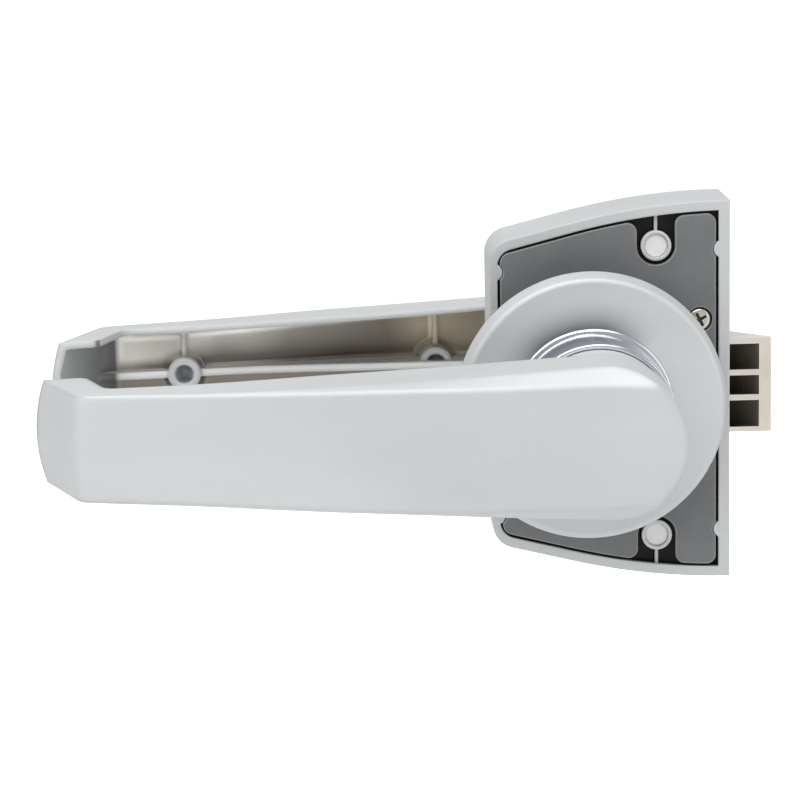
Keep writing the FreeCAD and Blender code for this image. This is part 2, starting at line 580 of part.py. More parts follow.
# The two levers.
def lever(label, rim, side, neckEnd, coreEnd):
    """Open-backed lever. side is -1 when its depth runs towards -Y and 1 towards +Y."""
    def at(depth):
        return f"({rim}) + {side} * ({depth})"

    def section(rimHalf, bendHalf, bend, faceHalf, depth, bendRound, faceRound):
        """Outline across the arm, carried on behind the rim's plane for the returned tip."""
        behind = "(tip_return + past)"
        backHalf = f"({rimHalf}) + (({rimHalf}) - ({bendHalf})) * {behind} / ({bend})"
        return [(at(f"-1 * {behind}"), backHalf), (at(bend), bendHalf, bendRound),
                (at(depth), faceHalf, faceRound), (at(depth), f"-1 * ({faceHalf})", faceRound),
                (at(bend), f"-1 * ({bendHalf})", bendRound), (at(f"-1 * {behind}"), f"-1 * ({backHalf})")]

    def outer(index):
        return section(*[f"arm{index}_{column}" for column in columns[1:]])

    def inner(first, second):
        """Section of the hollow, midway between two stations of the outside."""
        wide, crease, depth = [f"((arm{first}_{column} + arm{second}_{column}) / 2)"
                               for column in ("rim", "crease", "depth")]
        return section(f"{wide} - lever_wall", f"{crease} - lever_wall",
                       f"{depth} - face_wall - hollow_drop", f"{crease} - lever_wall - hollow_side",
                       f"{depth} - face_wall", "cavity_round", "cavity_round / 2")

    body = newBody(label)
    loft(body, "Additive", "YZ_Plane",
         [(f"-arm{index}_x", outer(index)) for index in range(len(stations))])

    # edge on the door's side: straight along the rim, then down to the returned tip
    pocket(body, "-arm0_rim - past", "arm0_rim + past",
           [("-arm0_x + past", at("-tip_return - 2 * past")), ("-arm0_x + past", at("0")),
            ("-rim_turn", at("0"), "rim_round"), ("-tip_start", at("-tip_return"), "rim_round"),
            ("-tip_end - 4 * past", at("-tip_return")),
            ("-tip_end - 4 * past", at("-tip_return - 2 * past"))],
           role="XY_Plane")

    # round end of the head, narrower towards the face, where its edge is rounded in small steps
    def headOutside(depth, drawn):
        radius = f"(head_radius - head_lean * ({depth}) - {drawn} * head_edge)"
        far = "-1 * arm0_x + past"
        wide = "arm0_rim + past"
        return [("0", f"-1 * {radius}", None, f"-1 * {radius}"), (radius, "0", None, f"-1 * {radius}"),
                ("0", radius), ("0", wide), (far, wide), (far, f"-1 * ({wide})"), ("0", f"-1 * ({wide})")]

    loft(body, "Subtractive", "XZ_Plane",
         [(at(depth), headOutside(depth, drawn)) for depth, drawn in
          (("-past", 0), ("arm0_depth - head_edge", 0), ("arm0_depth - 0.3 * head_edge", 0.3),
           ("arm0_depth + 0.1 * head_edge", 1), ("arm0_depth + past", 1.5))], ruled=True)

    # the tip's end leans back to the curved edge on the door's side and bends into the face
    def tipLine(depth):
        return f"(tip_end - tan(tip_lean) * (tip_return + ({depth})))"

    def tipBend(deep, radius, wall):
        """Places from the end's plane round its bend: distance from the axis and depth."""
        start = tipLine(f"({deep}) + {radius} * sin(tip_lean)")
        middle = f"({start} - {wall} - {radius} * cos(tip_lean))"
        turns = [f"(tip_lean + (90 - face_lean - tip_lean) * {step} / 4)" for step in range(5)]
        return [(f"({middle} + {radius} * cos({way}))", f"(({deep}) + {radius} * sin({way}))")
                for way in turns]

    def beyondTip(x, arc):
        wide = "(arm10_rim + 2 * past)"
        sweep = f"({arc}) - sqrt(({arc}) ^ 2 - {wide} ^ 2)"
        return [(f"-1 * {x} + {sweep}", f"-1 * {wide}", None, arc), (f"-1 * {x} + {sweep}", wide),
                ("-tip_end - 6 * past", wide), ("-tip_end - 6 * past", f"-1 * {wide}")]

    bends = tipBend("tip_bend_deep", "tip_bend_round", "0")
    lastX, lastDepth = bends[-1]
    ends = [(tipLine("-tip_return - 2 * past"), "-tip_return - 2 * past", "tip_arc")]
    ends += [(x, depth, "tip_bend_arc") for x, depth in bends]
    ends += [(f"({lastX} - 2.5 * past)", f"{lastDepth} + 0.65 * past", "tip_bend_arc")]
    loft(body, "Subtractive", "XZ_Plane",
         [(at(depth), beyondTip(x, arc)) for x, depth, arc in ends], ruled=True)

    # one hollow through the arm and the tip, its end wall bent into the floor
    loft(body, "Subtractive", "YZ_Plane",
         [(place, inner(first, second)) for place, first, second in
          (("-cavity_start", 2, 2), ("-arm4_x", 4, 4), ("-arm6_x", 6, 6), ("-arm7_x", 7, 7),
           ("-(arm8_x + arm9_x) / 2", 8, 9))])

    def tipHollow(x, drawn):
        mouth = f"arm8_rim - lever_wall - {drawn} * hollow_side"
        half = f"hollow_half - {drawn} * hollow_side"
        return [("-hollow_mouth", f"-1 * ({mouth})"), ("-hollow_mouth", mouth),
                (f"-1 * {x} + hollow_bow", half, "hollow_corner"),
                (f"-1 * {x}", "hollow_flat"), (f"-1 * {x}", "-hollow_flat"),
                (f"-1 * {x} + hollow_bow", f"-1 * ({half})", "hollow_corner")]

    floor = [(f"({tipLine('-tip_return - past')} - tip_wall)", "-tip_return - past")]
    floor += tipBend("hollow_bend_deep", "hollow_bend_round", "tip_wall")
    loft(body, "Subtractive", "XZ_Plane",
         [(at(depth), tipHollow(x, drawn)) for (x, depth), drawn in zip(floor, (0, 0, 0, 0.1, 0.4, 1))],
         ruled=True)

    # rail along the hollow's floor
    root = [("-cavity_start + join", at("arm2_depth - rail_sink"))]
    root += [(f"-arm{index}_x", at(f"arm{index}_depth - rail_sink")) for index in (4, 6)]
    root += [("-rail0_x + past", at(f"{floor[3][1]} + rail_sink"))]
    root += [("-rail0_x", at(f"{floor[2][1]} + rail_sink"))]
    top = [(f"-rail{index}_x", at(f"rail{index}_deep")) for index in range(len(railTop))]
    pad(body, "-rail_half", "rail_half", top + root, role="XY_Plane")

    # screw bosses with their collars, webs and tapered holes
    for x, deep, first, second in (("-boss_a_x", "boss_a_deep", 7, 8),
                                   ("-boss_b_x", "boss_b_deep", 3, 3)):
        bottom = f"(arm{first}_depth + arm{second}_depth) / 2 - face_wall"
        pad(body, at(deep), at(f"{bottom} + boss_sink"), (x, "0", "boss_outer"))
        pad(body, at(f"{bottom} - boss_collar_deep"), at(f"{bottom} + boss_sink"),
            (x, "0", "boss_collar"))
        wall = f"(arm{first}_crease - lever_wall + join)"
        web = [(f"{deep} + web_drop", wall), (f"{bottom} - hollow_drop", wall),
               (f"{bottom} + join", f"({wall} - hollow_side)")]
        pad(body, f"{x} - web_thick", f"{x} + web_thick",
            [(at(depth), half) for depth, half in web]
            + [(at(depth), f"-1 * {half}") for depth, half in reversed(web)], role="YZ_Plane")
        bottom = at(f"{deep} + boss_hole_deep")
        turn(body, [("0", at(deep)), ("boss_hole", at(deep)), ("boss_hole_end", bottom), ("0", bottom)],
             kind="Groove", x=x)

    # neck, core and the spindle's socket
    pad(body, neckEnd, at("join"), ("0", "0", neckRadius))
    pocket(body, neckEnd, at("bore_deep"), ("0", "0", neckBore))
    pad(body, coreEnd, at("bore_deep + join"), ("0", "0", "core_radius"))
    pocket(body, coreEnd, at("spindle_deep + socket_gap"), squareHole)
    grubY = at("-grub_inset")
    pocket(body, f"-1 * ({neckRadius}) - past", "0", ("0", grubY, "grub_radius"), role="XY_Plane")

    grub = newBody(label.replace("lever", "grub_screw"))
    grubEnd = f"grub_sink - ({neckRadius})"
    pad(grub, grubEnd, "-1 * (spindle_half + loose_fit)", ("0", grubY, "grub_radius"), role="XY_Plane")
    pocket(grub, grubEnd, f"{grubEnd} + grub_socket_deep",
           rectangle("-grub_socket", "grub_socket", f"{grubY} - grub_socket", f"{grubY} + grub_socket"),
           role="XY_Plane")
    return body


frontLever = lever("front_lever", frontRim, -1, f"{frontWasher} - play", f"{retainerEnd} + core_past")
turn(frontLever, rectangle("retainer_inner", "core_radius + join", retainerStart, retainerEnd),
     kind="Groove")
lever("rear_lever", rearRim, 1, f"{rearWasher} + play", "case_depth + rear_core_gap")

# The springs.
def arcFrom(start, tangent, end):
    """Arc that leaves start along tangent and reaches end."""
    chord = end - start
    heading = tangent + FreeCAD.Vector(chord).normalize()
    half = tangent.getAngle(chord) / 2
    middle = start + heading.normalize() * (chord.Length / 2 / math.cos(half))
    return Part.Arc(start, middle, end).toShape()


def coilShape(place, axis, across, radius, pitch, turns, wire, leg):
    """Round wire wound about axis from place, in quarter turns of two arcs, with straight end legs."""
    side = axis.cross(across)
    rise = pitch / (2 * math.pi)

    def spot(angle):
        return place + across * (radius * math.cos(angle)) + side * (radius * math.sin(angle)) \
            + axis * (rise * angle)

    def way(angle):
        return (side * (radius * math.cos(angle)) - across * (radius * math.sin(angle))
                + axis * rise).normalize()

    edges = []
    first = spot(0)
    if leg:
        edges.append(Part.LineSegment(first - way(0) * leg, first).toShape())
        first = first - way(0) * leg
    for index in range(int(turns * 4)):
        low, high = index * math.pi / 2, (index + 1) * math.pi / 2
        start, end, leave, arrive = spot(low), spot(high), way(low), way(high)
        chord, both = end - start, leave + arrive
        bend = 2 * (1 - leave.dot(arrive))
        reach = (-chord.dot(both) + math.sqrt(chord.dot(both) ** 2 + bend * chord.dot(chord))) / bend
        joint = (start + end + (leave - arrive) * reach) * 0.5
        meet = (joint - start - leave * reach).normalize()
        edges += [arcFrom(start, leave, joint), arcFrom(joint, meet, end)]
    last = turns * 2 * math.pi
    if leg:
        edges.append(Part.LineSegment(spot(last), spot(last) + way(last) * leg).toShape())
    spine = Part.Wire(edges)
    ring = Part.Wire(Part.Circle(first, way(0), wire).toShape())
    return spine.makePipeShell([ring], True, False)


def coil(label, place, axis, across, radius, pitch, turns, wire, leg="0"):
    spring = doc.addObject("Part::Feature", label)
    spring.Label = label
    start = FreeCAD.Vector(*[value(part) for part in place])
    numbers = [value(text) for text in (radius, pitch, turns, wire, leg)]
    spring.Shape = coilShape(start, FreeCAD.Vector(*axis), FreeCAD.Vector(*across), *numbers)
    gap = value(pitch) - 2 * value(wire)
    print(label, "least gap between turns", round(gap, 3), "mm")


springStart = f"{innerLeft} + latch_wire + latch_spring_gap"
springEnd = f"{lugBack} - latch_wire - latch_spring_gap"
coil("latch_spring", (springStart, latchMiddle, "spring_z"), (1, 0, 0), (0, 1, 0), "latch_coil",
     f"({springEnd} - ({springStart})) / latch_turns", "latch_turns", "latch_wire")
springStart = f"{hubRear} + hub_wire + hub_spring_gap"
springEnd = f"{caseInner} - bush_flange_thick - hub_wire - hub_spring_gap"
coil("hub_spring", ("0", springStart, "0"), (0, 1, 0), (0, 0, -1), "hub_coil",
     f"({springEnd} - ({springStart})) / hub_turns", "hub_turns", "hub_wire", "hub_leg")
springStart = f"{frontWasher} - lever_wire - lever_spring_gap"
coil("front_lever_spring", ("0", springStart, "0"), (0, -1, 0), (0, 0, 1), "lever_coil", "lever_pitch",
     "lever_turns", "lever_wire", "lever_leg")

doc.recompute()
os.makedirs("parts", exist_ok=True)
failed = [item.Label for item in doc.Objects if "Invalid" in item.State or "Error" in item.State]
if failed:
    raise RuntimeError(f"these did not build: {failed}")
for item in doc.Objects:
    if item.TypeId in ("PartDesign::Body", "Part::Feature"):
        shape = item.Shape
        if shape.isNull() or not shape.isValid() or not shape.Solids:
            raise RuntimeError(f"{item.Label} has no valid solid")
        shape.exportStep(f"parts/{item.Label}.step")
        box = shape.BoundBox
        print(f"{item.Label:22} {len(shape.Solids)} solids {shape.Volume:9.1f} mm3"
              f"  x {box.XMin:.2f} {box.XMax:.2f}  y {box.YMin:.2f} {box.YMax:.2f}"
              f"  z {box.ZMin:.2f} {box.ZMax:.2f}")
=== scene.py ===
import bpy
import math
from mathutils import Matrix, Vector


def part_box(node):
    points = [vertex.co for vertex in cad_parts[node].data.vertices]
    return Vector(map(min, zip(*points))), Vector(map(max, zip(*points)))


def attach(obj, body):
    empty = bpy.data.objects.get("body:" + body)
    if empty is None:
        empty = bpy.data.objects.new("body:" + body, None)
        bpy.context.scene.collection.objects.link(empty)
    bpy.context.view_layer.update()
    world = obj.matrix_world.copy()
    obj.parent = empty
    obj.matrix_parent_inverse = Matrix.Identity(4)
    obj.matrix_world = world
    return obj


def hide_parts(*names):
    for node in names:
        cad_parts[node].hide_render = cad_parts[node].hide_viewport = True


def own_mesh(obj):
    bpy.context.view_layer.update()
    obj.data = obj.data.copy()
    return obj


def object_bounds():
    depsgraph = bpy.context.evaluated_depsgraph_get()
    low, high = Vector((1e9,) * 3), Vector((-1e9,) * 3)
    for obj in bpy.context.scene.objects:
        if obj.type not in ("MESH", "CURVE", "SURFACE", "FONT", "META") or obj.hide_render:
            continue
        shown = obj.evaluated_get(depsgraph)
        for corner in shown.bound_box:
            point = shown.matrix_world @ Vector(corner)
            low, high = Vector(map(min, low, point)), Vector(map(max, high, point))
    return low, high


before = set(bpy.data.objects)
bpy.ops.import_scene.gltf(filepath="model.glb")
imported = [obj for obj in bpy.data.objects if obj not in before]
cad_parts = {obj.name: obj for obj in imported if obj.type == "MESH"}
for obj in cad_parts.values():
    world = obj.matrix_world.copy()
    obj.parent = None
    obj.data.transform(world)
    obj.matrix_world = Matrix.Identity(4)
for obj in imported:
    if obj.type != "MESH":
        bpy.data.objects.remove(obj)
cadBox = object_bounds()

# Lever handle lock for a glass door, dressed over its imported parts. X points to the latch's nose,
# Y through the door away from the camera, Z up, all in metres.


class Wire:
    # a number that travels through a material, so that plain arithmetic adds Math nodes

    def __init__(self, finish, socket):
        self.finish = finish
        self.socket = socket

    def math(self, operation, *others, clamp=False):
        return self.finish.node("ShaderNodeMath", dict(operation=operation, use_clamp=clamp),
                                {place: item for place, item in enumerate((self, *others))})

    def __add__(self, other):
        return self.math("ADD", other)

    def __sub__(self, other):
        return self.math("SUBTRACT", other)

    def __mul__(self, other):
        return self.math("MULTIPLY", other)

    def __truediv__(self, other):
        return self.math("DIVIDE", other)

    def __neg__(self):
        return self.math("MULTIPLY", -1.0)

    def __abs__(self):
        return self.math("ABSOLUTE")

    def __radd__(self, other):
        return self + other

    def __rmul__(self, other):
        return self * other

    def __rsub__(self, other):
        return self.finish.node("ShaderNodeMath", dict(operation="SUBTRACT"), {0: other, 1: self})

    def clamped(self):
        return self.math("ADD", 0.0, clamp=True)

    def rising(self, start, end):
        # 0 at the start, 1 at the end
        return ((self - start) / (end - start)).clamped()

    def above(self, level, soft):
        # 0 below the level, 1 above it, over a soft edge
        return ((self - level) / soft + 0.5).clamped()

    def below(self, level, soft):
        return 1 - self.above(level, soft)

    def between(self, low, high, soft):
        return self.above(low, soft) * self.below(high, soft)

    def orElse(self, other):
        return self.math("MAXIMUM", other)

    def swing(self, amount):
        # a noise of 0 to 1 as a swing to both sides of nothing
        return (self - 0.5) * amount


def reachOf(first, second):
    return (first * first + second * second).math("SQRT")


class Finish:
    # a procedural material built round one Principled shader

    def __init__(self, name, colour, metallic=0.0, roughness=0.5, **fixed):
        self.material = bpy.data.materials.new(name)
        self.material.use_nodes = True
        self.tree = self.material.node_tree
        self.shader = self.tree.nodes["Principled BSDF"]
        self.shader.inputs["Base Color"].default_value = (*colour, 1)
        self.shader.inputs["Metallic"].default_value = metallic
        self.shader.inputs["Roughness"].default_value = roughness
        for socket, number in fixed.items():
            self.shader.inputs[socket.replace("_", " ")].default_value = number
        self.place = self.node("ShaderNodeTexCoord", {}, {}, "Object")
        self.facing = self.node("ShaderNodeTexCoord", {}, {}, "Normal")

    def link(self, target, item):
        if isinstance(item, Wire):
            item = item.socket
        if isinstance(item, bpy.types.NodeSocket):
            self.tree.links.new(item, target)
        elif isinstance(item, (int, float)):
            target.default_value = item
        else:
            target.default_value = (*item, 1) if len(target.default_value) == 4 else item

    def node(self, kind, settings, inputs, output=0):
        made = self.tree.nodes.new(kind)
        for name, item in settings.items():
            if name == "stops":
                self.setStops(made.color_ramp, item)
            else:
                setattr(made, name, item)
        for name, item in inputs.items():
            self.link(made.inputs[name], item)
        return Wire(self, made.outputs[output])

    def setStops(self, ramp, stops):
        # a stop's shade is a colour, or one number for a grey
        while len(ramp.elements) < len(stops):
            ramp.elements.new(0.5)
        for element, (spot, shade) in zip(ramp.elements, stops):
            element.position = spot
            element.color = (*shade, 1) if isinstance(shade, tuple) else (shade, shade, shade, 1)

    def axes(self, vector):
        split = self.tree.nodes.new("ShaderNodeSeparateXYZ")
        self.link(split.inputs[0], vector)
        return [Wire(self, socket) for socket in split.outputs]

    def noise(self, scale, detail=2.0, roughness=0.5, stretch=(1, 1, 1)):
        where = self.node("ShaderNodeVectorMath", dict(operation="MULTIPLY"),
                          {0: self.place, 1: stretch})
        return self.node("ShaderNodeTexNoise", {}, {"Vector": where, "Scale": scale,
                                                    "Detail": detail, "Roughness": roughness})

    def ramp(self, amount, *stops):
        return self.node("ShaderNodeValToRGB", dict(stops=stops), {0: amount})

    def profile(self, along, points, scale):
        # a height over a length, scaled up on its way through the ramp to use a colour's range
        start, end = points[0][0], points[-1][0]
        stops = [((spot - start) / (end - start), high * scale) for spot, high in points]
        return self.ramp((along - start) / (end - start), *stops) / scale

    def mix(self, amount, first, second):
        # a mix of two colours
        made = self.tree.nodes.new("ShaderNodeMix")
        made.data_type = "RGBA"
        for place, item in ((0, amount), (6, first), (7, second)):
            self.link(made.inputs[place], item)
        return Wire(self, made.outputs[2])

    def blend(self, amount, first, second):
        # a mix of two numbers
        made = self.tree.nodes.new("ShaderNodeMix")
        for place, item in ((0, amount), (2, first), (3, second)):
            self.link(made.inputs[place], item)
        return Wire(self, made.outputs[0])

    def rounded(self, radius, samples=4):
        return self.node("ShaderNodeBevel", dict(samples=samples), {"Radius": radius})

    def edges(self, radius, start, end):
        # 1 along the shape's corners, where a rounded normal turns away from the true one
        true = self.node("ShaderNodeNewGeometry", {}, {}, "Normal")
        along = self.node("ShaderNodeVectorMath", dict(operation="DOT_PRODUCT"),
                          {0: self.rounded(radius), 1: true}, "Value")
        return (1 - along).rising(start, end)

    def set(self, socket, item):
        self.link(self.shader.inputs[socket], item)

    def bump(self, height, strength, distance, soften=None):
        inputs = {"Height": height, "Strength": strength, "Distance": distance}
        if soften:
            inputs["Normal"] = self.rounded(soften, 6)
        self.set("Normal", self.node("ShaderNodeBump", {}, inputs))

    def cover(self, colour, rough, height, strength=0.12, distance=0.00008, soften=None):
        self.set("Base Color", colour)
        self.set("Roughness", rough)
        self.bump(height, strength, distance, soften)


# camera, lamps, surroundings and floor
view = dict(
    place=(-0.06627, -0.73787, 0.14276),          # solved from edges of known size in the photograph
    yaw=-0.029769, pitch=0.190857, roll=-0.018421,
    lens=142.58, sensor=36.0, clipStart=0.01,
)


def addCamera(values):
    cosY, sinY = math.cos(values["yaw"]), math.sin(values["yaw"])
    cosP, sinP = math.cos(values["pitch"]), math.sin(values["pitch"])
    cosR, sinR = math.cos(values["roll"]), math.sin(values["roll"])
    level = Matrix(((1, 0, 0), (0, 0, -1), (0, 1, 0)))
    turn = Matrix(((cosY, 0, sinY), (0, 1, 0), (-sinY, 0, cosY)))
    nod = Matrix(((1, 0, 0), (0, cosP, -sinP), (0, sinP, cosP)))
    tilt = Matrix(((cosR, -sinR, 0), (sinR, cosR, 0), (0, 0, 1)))
    look = tilt @ nod @ turn @ level
    data = bpy.data.cameras.new("camera")
    data.lens = values["lens"]
    data.sensor_width = values["sensor"]
    data.clip_start = values["clipStart"]
    camera = bpy.data.objects.new("camera", data)
    axes = Matrix((look[0], -look[1], -look[2])).transposed()
    camera.matrix_world = Matrix.Translation(Vector(values["place"])) @ axes.to_4x4()
    bpy.context.collection.objects.link(camera)
    bpy.context.scene.camera = camera


lamps = dict(
    top=dict(place=(-0.22, -0.35, 1.1), aim=(-0.03, 0, 0), size=1.5, power=15.0),
    left=dict(place=(-1.1, -0.7, 0.35), aim=(-0.03, 0, 0), size=1.2, power=2.7),
    right=dict(place=(1.0, -0.5, 0.3), aim=(-0.03, 0, 0), size=1.0, power=2.2),
)


def addLamps(values):
    for name, lamp in values.items():
        data = bpy.data.lights.new(name, "AREA")
        data.size = lamp["size"]
        data.energy = lamp["power"]
        item = bpy.data.objects.new(name, data)
        way = Vector(lamp["place"]) - Vector(lamp["aim"])
        item.matrix_world = (Matrix.Translation(Vector(lamp["place"]))
                             @ way.to_track_quat("Z", "Y").to_matrix().to_4x4())
        bpy.context.collection.objects.link(item)


studio = dict(
    level=0.46, background=1.0,                    # the world's light, and what the camera sees of it
    floorDrop=0.11, floorHalf=4.0, floorColour=(0.86, 0.86, 0.86), floorRoughness=0.9, floorGlow=0.62,
)


def addWorld(values):
    world = bpy.data.worlds.new("studio")
    bpy.context.scene.world = world
    world.use_nodes = True
    nodes, links = world.node_tree.nodes, world.node_tree.links
    shade = nodes["Background"]
    rays = nodes.new("ShaderNodeLightPath")
    pick = nodes.new("ShaderNodeMix")
    pick.inputs[2].default_value = values["level"]
    pick.inputs[3].default_value = values["background"]
    links.new(rays.outputs["Is Camera Ray"], pick.inputs[0])
    links.new(pick.outputs[0], shade.inputs["Strength"])
    shade.inputs["Color"].default_value = (1, 1, 1, 1)


def addFloor(values):
    half = values["floorHalf"]
    low = cadBox[0][2] - values["floorDrop"]
    corners = [(-half, -half, low), (half, -half, low), (half, half, low), (-half, half, low)]
    mesh = bpy.data.meshes.new("floor")
    mesh.from_pydata(corners, [], [(0, 1, 2, 3)])
    floor = bpy.data.objects.new("floor", mesh)
    bpy.context.collection.objects.link(floor)
    paper = Finish("paleFloor", values["floorColour"], roughness=values["floorRoughness"],
                   Emission_Color=(1, 1, 1, 1))
    seen = paper.node("ShaderNodeLightPath", {}, {}, "Is Camera Ray")
    paper.set("Emission Strength", seen * values["floorGlow"])
    mesh.materials.append(paper.material)


addCamera(view)
addLamps(lamps)
addWorld(studio)
addFloor(studio)
bpy.context.scene.view_settings.view_transform = "Standard"
print("camera, lamps and floor are set")

# satin silver paint over the castings
paint = dict(
    low=(0.59, 0.608, 0.616), high=(0.68, 0.700, 0.708), edge=(0.76, 0.775, 0.78), speck=(1, 1, 1),
    metallic=0.35, roughness=0.56, leverSoften=0.0021, caseSoften=0.0006, rosetteSoften=0.0005,
    cloud=dict(scale=26, detail=3, roughness=0.55, stretch=(0.5, 1.4, 1.6)), cloudSoft=0.6,
    grain=dict(scale=2400, detail=1), grainShare=0.25,
    scuff=dict(scale=420, detail=3, roughness=0.6, stretch=(0.08, 1, 1)),
    edgeRadius=0.0006, edgeTurn=(0.01, 0.12), edgeShare=0.35, edgeScuff=0.3,
    roughCloud=0.12, roughScuff=0.10, roughEdge=0.03, heightGrain=0.7, heightScuff=0.3,
)


def paintOn(finish, values):
    cloud = finish.noise(**values["cloud"])
    grain = finish.noise(**values["grain"])
    scuff = finish.noise(**values["scuff"])
    edge = finish.edges(values["edgeRadius"], *values["edgeTurn"])
    worn = edge * (values["edgeShare"] + scuff * values["edgeScuff"])
    colour = finish.mix(cloud.above(0.5, values["cloudSoft"]), values["low"], values["high"])
    colour = finish.mix(worn, colour, values["edge"])
    colour = finish.mix(grain.swing(values["grainShare"]), colour, values["speck"])
    rough = values["roughness"] + cloud.swing(values["roughCloud"])
    rough = rough + scuff.swing(values["roughScuff"]) - edge * values["roughEdge"]
    finish.set("Metallic", values["metallic"])
    return colour, rough, grain * values["heightGrain"] + scuff * values["heightScuff"]


# the rosette: the same paint, in the neck's soft shade above the collar
rosetteShade = dict(reach=0.008, towards=(-0.26, 0.966), middle=0.72, soft=0.4, depth=0.8,
                    colour=(0.06, 0.065, 0.07))


def rosetteFinish(values):
    finish = Finish("satinSilver", paint["high"])
    colour, rough, height = paintOn(finish, paint)
    x, _, z = finish.axes(finish.place)
    low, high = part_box("front_collar")
    away = reachOf(x, z)
    near = (((high[0] - low[0]) / 2 + values["reach"] - away) / values["reach"]).clamped()
    aside = (x * values["towards"][0] + z * values["towards"][1]) / away
    shade = near * near * aside.above(values["middle"], values["soft"])
    colour = finish.mix(shade * values["depth"], colour, values["colour"])
    finish.cover(colour, rough, height, soften=paint["rosetteSoften"])
    return finish


rosetteSilver = rosetteFinish(rosetteShade)

# the case: the same paint, darker inside, where painted shade covers the walls of the hollow
caseShadeInside = dict(
    lift=0.00067, skin=0.0011, corner=0.0046, lip=0.0012, back=0.0215, soft=0.0003, lipSoft=0.0006,
    colour=(0.085, 0.080, 0.076), roughness=0.6, rampScale=20,
    outline=((-0.0226, 0.03607), (-0.003, 0.04092), (0.010, 0.04355), (0.022, 0.04497),
             (0.0342, 0.04545)),                   # half the outer height over the width
)


def caseFinish(values):
    finish = Finish("caseSilver", paint["high"])
    colour, rough, height = paintOn(finish, paint)
    x, y, z = finish.axes(finish.place)
    start, end = values["outline"][0][0], values["outline"][-1][0]
    skin, soft = values["skin"], values["soft"]
    high = finish.profile(x, values["outline"], values["rampScale"])
    below = high - abs(z - values["lift"])
    shadeInside = below.above(skin, soft) * (below + x - start).above(values["corner"], soft)
    shadeInside = shadeInside * x.between(start + skin, end - skin, soft)
    shadeInside = shadeInside * y.between(values["lip"], values["back"], values["lipSoft"])
    # painted shade over the case's inside walls
    colour = finish.mix(shadeInside, colour, values["colour"])
    rough = finish.blend(shadeInside, rough, values["roughness"])
    finish.cover(colour, rough, height, soften=paint["caseSoften"])
    return finish


caseSilver = caseFinish(caseShadeInside)

# the levers: painted outside, on the rims, rails, boss ends and in the tip, bare nickel in the hollow.
# Painted shade lies in the tip and the boss holes, a painted highlight on the rail and painted
# reflection and shade over the nickel.
# Lengths run from the spindle's axis to the tip, depths from the rim into the hollow.
leverInside = dict(
    frontGap=0.0088, rearGap=0.00743,              # from the collar's end to the lever's rim
    depths=((0.0, 0.019), (0.015, 0.0196), (0.03, 0.0199), (0.045, 0.019), (0.06, 0.0171),
            (0.075, 0.0145), (0.09, 0.0119), (0.106, 0.0093), (0.132, 0.0054)),
    reach=0.132, rampScale=40, start=0.0195, rimBand=0.0004, floorGap=0.0012, soft=0.0004,
    turn=0.1113, turned=0.1167, climb=0.0147,      # where the rim climbs over the hooked tip
    facing=0.3, facingSoft=0.2,
)
# painted shade inside the hooked tip, lighter towards its end wall
tipInsideShade = dict(start=0.1132, soft=0.0016, share=0.85, colour=(0.085, 0.083, 0.078),
                 end=0.1198, endSoft=0.010, endColour=(0.43, 0.45, 0.46))
# the bosses along the lever, and the painted shade in their holes
leverBosses = dict(
    places=((-0.0968, 0.004), (-0.0336, 0.011)),   # along the lever, and the end's depth
    radius=0.0042, soft=0.0003, band=0.0006, bandSoft=0.0004,
    holeRadius=0.0026, holeDeep=0.0036, holeSoft=0.0008, holeShade=(0.34, 0.36, 0.37),
)
# the paint on the rail's top, lighter than the paint elsewhere as a painted highlight
railPaintAndHighlight = dict(half=0.0010, soft=0.0002, colour=(0.86, 0.87, 0.86))
# bare nickel in the lever's hollow; its tone ramps are painted reflection and shade, darker below the
# rail, with a painted highlight along the ledge
bareNickelAndPaintedLight = dict(
    high=((0.020, (0.50, 0.44, 0.33)), (0.031, (0.80, 0.70, 0.52)), (0.038, (0.84, 0.75, 0.57)),
          (0.046, (0.43, 0.385, 0.325)), (0.070, (0.56, 0.53, 0.48)), (0.082, (0.97, 0.94, 0.89)),
          (0.104, (0.84, 0.80, 0.73)), (0.110, (0.97, 0.94, 0.88))),
    low=((0.031, (0.45, 0.39, 0.30)), (0.046, (0.20, 0.175, 0.145)), (0.058, (0.155, 0.135, 0.115)),
         (0.082, (0.21, 0.195, 0.175)), (0.104, (0.21, 0.19, 0.16)), (0.111, (0.40, 0.36, 0.32))),
    sheen=dict(scale=60, detail=3, roughness=0.6, stretch=(0.6, 1, 1.2)),
    streak=dict(scale=900, detail=2, roughness=0.6, stretch=(0.05, 1, 1)),
    sheenAlong=0.008, sheenUp=0.0016, fadeLow=(0.0034, 0.0016), fadeSpan=(0.0056, 0.0024),
    toTip=0.096, toTipSoft=0.016,                  # from the middle's fade to the tip's
    ledgeHighlight=(0.0010, 0.0018), ledgeSoft=0.0006, ledgeReach=(0.042, 0.092), ledgeEnd=0.006, ledgeShare=0.3,
    under=(0.30, 0.27, 0.23), underLevel=-0.0012, underSoft=0.001,
    lit=0.098, litSoft=0.036, litSheen=0.02, litDull=0.6,
    roughness=0.30, roughStreak=0.04, heightMiddle=0.5, heightShare=0.2,
)


def bossMarks(x, z, deep, values):
    # the painted ends of the bosses, and painted shade in the holes in them
    ends, shadedHoles = 0.0, 0.0
    for spot, depth in values["places"]:
        away, under = reachOf(x - spot, z), deep - depth
        end = under.between(-values["band"], values["band"], values["bandSoft"])
        end = end * away.below(values["radius"], values["soft"])
        holeShade = under.between(values["band"], values["holeDeep"], values["holeSoft"])
        holeShade = holeShade * away.below(values["holeRadius"], values["holeSoft"])
        ends, shadedHoles = end.orElse(ends), holeShade.orElse(shadedHoles)
    return ends, shadedHoles


